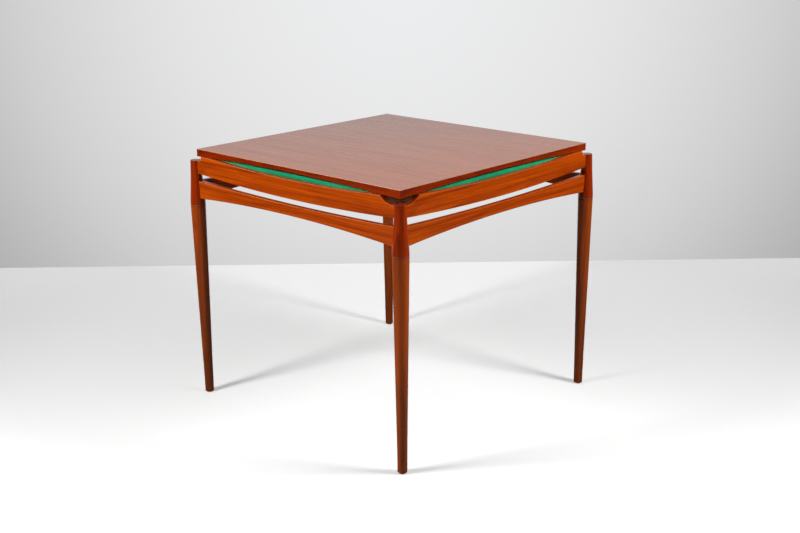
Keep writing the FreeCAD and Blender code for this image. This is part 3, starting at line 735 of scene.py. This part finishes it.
# %% Put the wood on
def dress(node_name, material):
    mesh = nodes[node_name].data
    if not mesh.materials:
        mesh.materials.append(material)
    for slot in range(len(mesh.materials)):
        mesh.materials[slot] = material


for corner in ("front_right", "back_right", "back_left", "front_left"):
    dress(f"post_{corner}", post_wood)
    dress(f"leg_{corner}", leg_wood)
    dress(f"corner_block_{corner}", block_wood)
for side, rail, lip in (("front", rail_x, lip_x), ("right", rail_y, lip_y),
                        ("back", rail_x, lip_x), ("left", rail_y, lip_y)):
    dress(f"upper_rail_{side}", rail)
    dress(f"lower_rail_{side}", rail)
    dress(f"lipping_{side}", lip)
dress("top_veneer", veneer)
dress("top_core", core_wood)
dress("playing_panel", core_wood)
dress("upper_dowels", dowel_wood)
dress("lower_dowels", dowel_wood)
print("dressed the wooden nodes")

# %% [markdown]
# Screws, bolts and threaded inserts are zinc-plated steel: a metal with fine scratches.
# The glides under the legs are off-white nylon. Both are scuffed alike, so one group draws
# the scratches, and a cloud that dulls the colour in places.

# %% Steel and nylon
SCRATCH_CELLS = (900, 900, 160)
CLOUD_CELLS = (120, 120, 120)
SCRATCH_BUMP, SCRATCH_DEPTH = 0.3, 0.00003
SCRATCH_ROUGHNESS = 0.18

scuffs, given, result = new_group("scuffs", inputs=(("Place", VECTOR, None),),
                                  outputs=(("Scratch", FLOAT), ("Cloud", FLOAT)))
for output, cells, spot in (("Scratch", SCRATCH_CELLS, (-500, 0)),
                            ("Cloud", CLOUD_CELLS, (-500, -250))):
    noise = stretched_noise(scuffs, given["Place"], cells, spot, detail=3, roughness=0.6)
    scuffs.links.new(noise, result[output])


def hardware_finish(name, colour, metallic, roughness, wear):
    material, tree = new_material(name)
    place = add_node(tree, "ShaderNodeTexCoord", (-900, 0)).outputs["Object"]
    scuffed = add_node(tree, "ShaderNodeGroup", (-700, 0), node_tree=scuffs)
    tree.links.new(place, scuffed.inputs["Place"])
    scratch = scuffed.outputs["Scratch"]
    cloudy = between(tree, scuffed.outputs["Cloud"], *NOISE_SPREAD, (-300, -250))
    darker = tuple(c * (1 - wear) for c in colour[:3]) + (1,)
    skin = add_node(tree, "ShaderNodeBsdfPrincipled", (0, 0))
    for socket, value in (
            ("Metallic", metallic),
            ("Base Color", mix_colours(tree, cloudy, colour, darker, (-150, 0))),
            ("Roughness", between(tree, scratch, *NOISE_SPREAD, (-300, 0), roughness,
                                  roughness + SCRATCH_ROUGHNESS)),
            ("Normal", bump(tree, scratch, SCRATCH_BUMP, SCRATCH_DEPTH, (-150, -400)))):
        feed(tree, value, skin.inputs[socket])
    put_on(tree, skin.outputs[0], (300, 0))
    print("finish:", name)
    return material


STEEL_GREY, NYLON_WHITE = (0.62, 0.62, 0.60, 1), (0.70, 0.68, 0.62, 1)
steel = hardware_finish("zinc_steel", STEEL_GREY, metallic=1.0, roughness=0.32, wear=0.2)
nylon = hardware_finish("glide_nylon", NYLON_WHITE, metallic=0.0, roughness=0.45, wear=0.08)
for node_name in ("block_screws", "leg_bolts", "threaded_inserts"):
    dress(node_name, steel)
dress("foot_glides", nylon)

# %% [markdown]
# The board's other side is covered in green baize, glued flat and turned up round the panel
# under the core. It is a thin cloth, so it is built as a tray: a square, its rim pulled up, a
# rounded fold where it turns, and Solidify inward for its thickness. It takes the place of
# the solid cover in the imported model, and its size comes from there.

# %% Baize
CLOTH_THICK = 0.0012
CLOTH_SQUARES = 24
FOLD_RADIUS = 0.0005
FOLD_SEGMENTS = 3
STEEP_TURN = 0.5
cloth_low, cloth_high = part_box("felt_cover")
CLOTH_HALF = cloth_high.x
CLOTH_RISE = cloth_high.z - cloth_low.z


def turns_up(edge):
    """Say whether the flat square and an upright face meet at this edge."""
    if len(edge.link_faces) != 2:
        return False
    one, other = edge.link_faces
    level = all(v.co.z < FOLD_RADIUS for v in edge.verts)
    return level and abs(one.normal.dot(other.normal)) < STEEP_TURN


def make_cloth(shape):
    bmesh.ops.create_grid(shape, x_segments=CLOTH_SQUARES, y_segments=CLOTH_SQUARES,
                          size=CLOTH_HALF)
    pull_up(shape, [e for e in shape.edges if e.is_boundary], CLOTH_RISE)
    bmesh.ops.bevel(shape, geom=[e for e in shape.edges if turns_up(e)], offset=FOLD_RADIUS,
                    offset_type="OFFSET", segments=FOLD_SEGMENTS, profile=0.5,
                    affect="EDGES", material=-1)
    bmesh.ops.recalc_face_normals(shape, faces=shape.faces)
    bottom = min(shape.faces, key=lambda f: f.calc_center_median().z)
    if bottom.normal.z > 0:
        bmesh.ops.reverse_faces(shape, faces=shape.faces)
    bmesh.ops.translate(shape, vec=(0, 0, cloth_low.z), verts=shape.verts)


cloth = new_object("baize", make_cloth)
thick = cloth.modifiers.new("thickness", "SOLIDIFY")
thick.thickness = CLOTH_THICK
thick.offset = -1.0
thick.use_even_offset = True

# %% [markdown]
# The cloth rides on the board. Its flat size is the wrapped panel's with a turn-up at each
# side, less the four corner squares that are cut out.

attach(cloth, "top_board")
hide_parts("felt_cover")

# %% [markdown]
# Baize is a felted wool: matt, with a short nap that catches light at a low angle.
# Fine noise makes the fibres, a slower one the clouds of a cloth that has been brushed.
# Low down, from its flat face to 5.5 mm above it, it is painted a darker green: painted shade
# at the foot of the turned-up edge.

# %% Nap and painted shade low on the cloth
BAIZE_LIGHT, BAIZE_DARK = srgb(24, 190, 132), srgb(6, 132, 88)
BAIZE_LOW_SHADE = srgb(6, 112, 70)
FIBRE_CELLS = (1400, 1400, 1400)
BRUSHED_CELLS = (14, 14, 14)
FIBRE_SHARE, BRUSHED_SHARE = 0.6, 0.4
LOW_SHADE_TOP = cloth_low.z + 0.0055

baize_material, tree = new_material("green_baize")
coordinates = add_node(tree, "ShaderNodeTexCoord", (-1100, 0)).outputs
place = coordinates["Object"]
apart = split(tree, place, (-900, 300))
fibre = stretched_noise(tree, place, FIBRE_CELLS, (-700, 0), detail=3, roughness=0.7,
                        distortion=0.6)
cloud = stretched_noise(tree, place, BRUSHED_CELLS, (-700, -300), detail=4, roughness=0.6)
brushed = between(tree, cloud, *NOISE_SPREAD, (-500, -300))
mottled = maths(tree, "MULTIPLY_ADD", brushed, BRUSHED_SHARE,
                maths(tree, "MULTIPLY", fibre, FIBRE_SHARE, spot=(-500, 0)), (-300, -100))
fresh = mix_colours(tree, mottled, BAIZE_LIGHT, BAIZE_DARK, (-450, 150))
# Painted shade: the green is darker towards the bottom of the cloth.
low_shade = between(tree, apart["Z"], cloth_low.z, LOW_SHADE_TOP, (-450, 500), 1.0, 0.0)
green = mix_colours(tree, low_shade, fresh, BAIZE_LOW_SHADE, (-300, 150))
print("fibres per metre:", FIBRE_CELLS[0])

# %% [markdown]
# Close under the arched lippings the cloth is painted dark, as the painted shadow of the
# lippings, down to some six millimetres below the arch. The mask follows the arch, a parabola
# whose drop grows with the square of the distance from the middle of a side. The value nearer
# is that distance: the smaller of X and Y without their signs, because the larger one only
# says how far out the board's edge is. The shade fades before the arch comes down to the rail.

# %% Painted shadow under the lippings
BAIZE_SHADE = srgb(36, 44, 22)
ARCH_RISE = 0.0093
ARCH_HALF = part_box("lipping_front")[1].x
ARCH_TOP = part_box("lipping_front")[0].z + ARCH_RISE
SHADE_FROM, SHADE_FULL = -0.0068, -0.0050
SHADE_FADES, SHADE_ENDS, SHADE_DEPTH = 0.10, 0.22, 0.9

nearer = maths(tree, "MINIMUM", maths(tree, "ABSOLUTE", apart["X"], spot=(-700, 350)),
               maths(tree, "ABSOLUTE", apart["Y"], spot=(-700, 200)), spot=(-500, 300))
sunk = maths(tree, "SUBTRACT", apart["Z"], ARCH_TOP, spot=(-700, 800))
squared = maths(tree, "MULTIPLY", nearer, nearer, spot=(-700, 950))
bowed = maths(tree, "MULTIPLY", squared, ARCH_RISE / ARCH_HALF ** 2, spot=(-550, 950))
below_arch = maths(tree, "ADD", sunk, bowed, spot=(-550, 800))
shade = between(tree, below_arch, SHADE_FROM, SHADE_FULL, (-400, 800))
deep = between(tree, nearer, SHADE_FADES, SHADE_ENDS, (-550, 1100), SHADE_DEPTH, 0.0)
green = mix_colours(tree, maths(tree, "MULTIPLY", shade, deep, spot=(-250, 800)), green,
                    BAIZE_SHADE, (-300, 300))
print("arch rises", ARCH_RISE * 1000, "mm")

# %% [markdown]
# Beside the two notches the cloth's turned-up edge is painted dark brown: painted shade, where
# the cloth lies in the dark of the notches. They lie at the corners where X and Y have
# opposite signs.

# %% Painted shade beside the notches
BAIZE_NOTCH_SHADE = srgb(58, 32, 14)
NOTCH_SHADE_FROM, NOTCH_SHADE_FULL = 0.312, 0.334
EDGE_FACING = (0.4, 0.8)
FACE_SHADE = 0.1

crossed = maths(tree, "MULTIPLY", apart["X"], apart["Y"], spot=(-700, 50))
by_notch = maths(tree, "LESS_THAN", crossed, 0.0, spot=(-500, 50))
by_corner = maths(tree, "MULTIPLY", between(tree, nearer, NOTCH_SHADE_FROM, NOTCH_SHADE_FULL, (-300, 350)),
                  by_notch, spot=(-150, 450))
facing = split(tree, coordinates["Normal"], (-900, 600))
on_edge = between(tree, maths(tree, "ABSOLUTE", facing["Z"], spot=(-700, 600)), *EDGE_FACING,
                  (-500, 600), 1.0, FACE_SHADE)
overlay = maths(tree, "MULTIPLY", by_corner, on_edge, spot=(-150, 350))
green = mix_colours(tree, overlay, green, BAIZE_NOTCH_SHADE, (-150, 0))
# Where the painted shade beside the notches starts.
print("wear starts", NOTCH_SHADE_FROM, "m from the middle of a side")

# %% [markdown]
# The cloth's shader has next to no gloss. Sheen gives the nap its pale edge, and the bump of
# the fibres breaks up the light.

# %% Baize finish
NAP_BUMP, NAP_HEIGHT = 0.8, 0.00025
NAP_SHEEN = (0.3, 1.0, 0.75, 1)

skin = add_node(tree, "ShaderNodeBsdfPrincipled", (0, 0))
for socket, value in (
        ("Base Color", green), ("Roughness", 0.95), ("Specular IOR Level", 0.2),
        ("Sheen Weight", 0.2), ("Sheen Roughness", 0.5), ("Sheen Tint", NAP_SHEEN),
        ("Normal", bump(tree, fibre, NAP_BUMP, NAP_HEIGHT, (-200, -300)))):
    feed(tree, value, skin.inputs[socket])
put_on(tree, skin.outputs[0], (300, 0))
cloth.data.materials.append(baize_material)
print("finish:", baize_material.name)
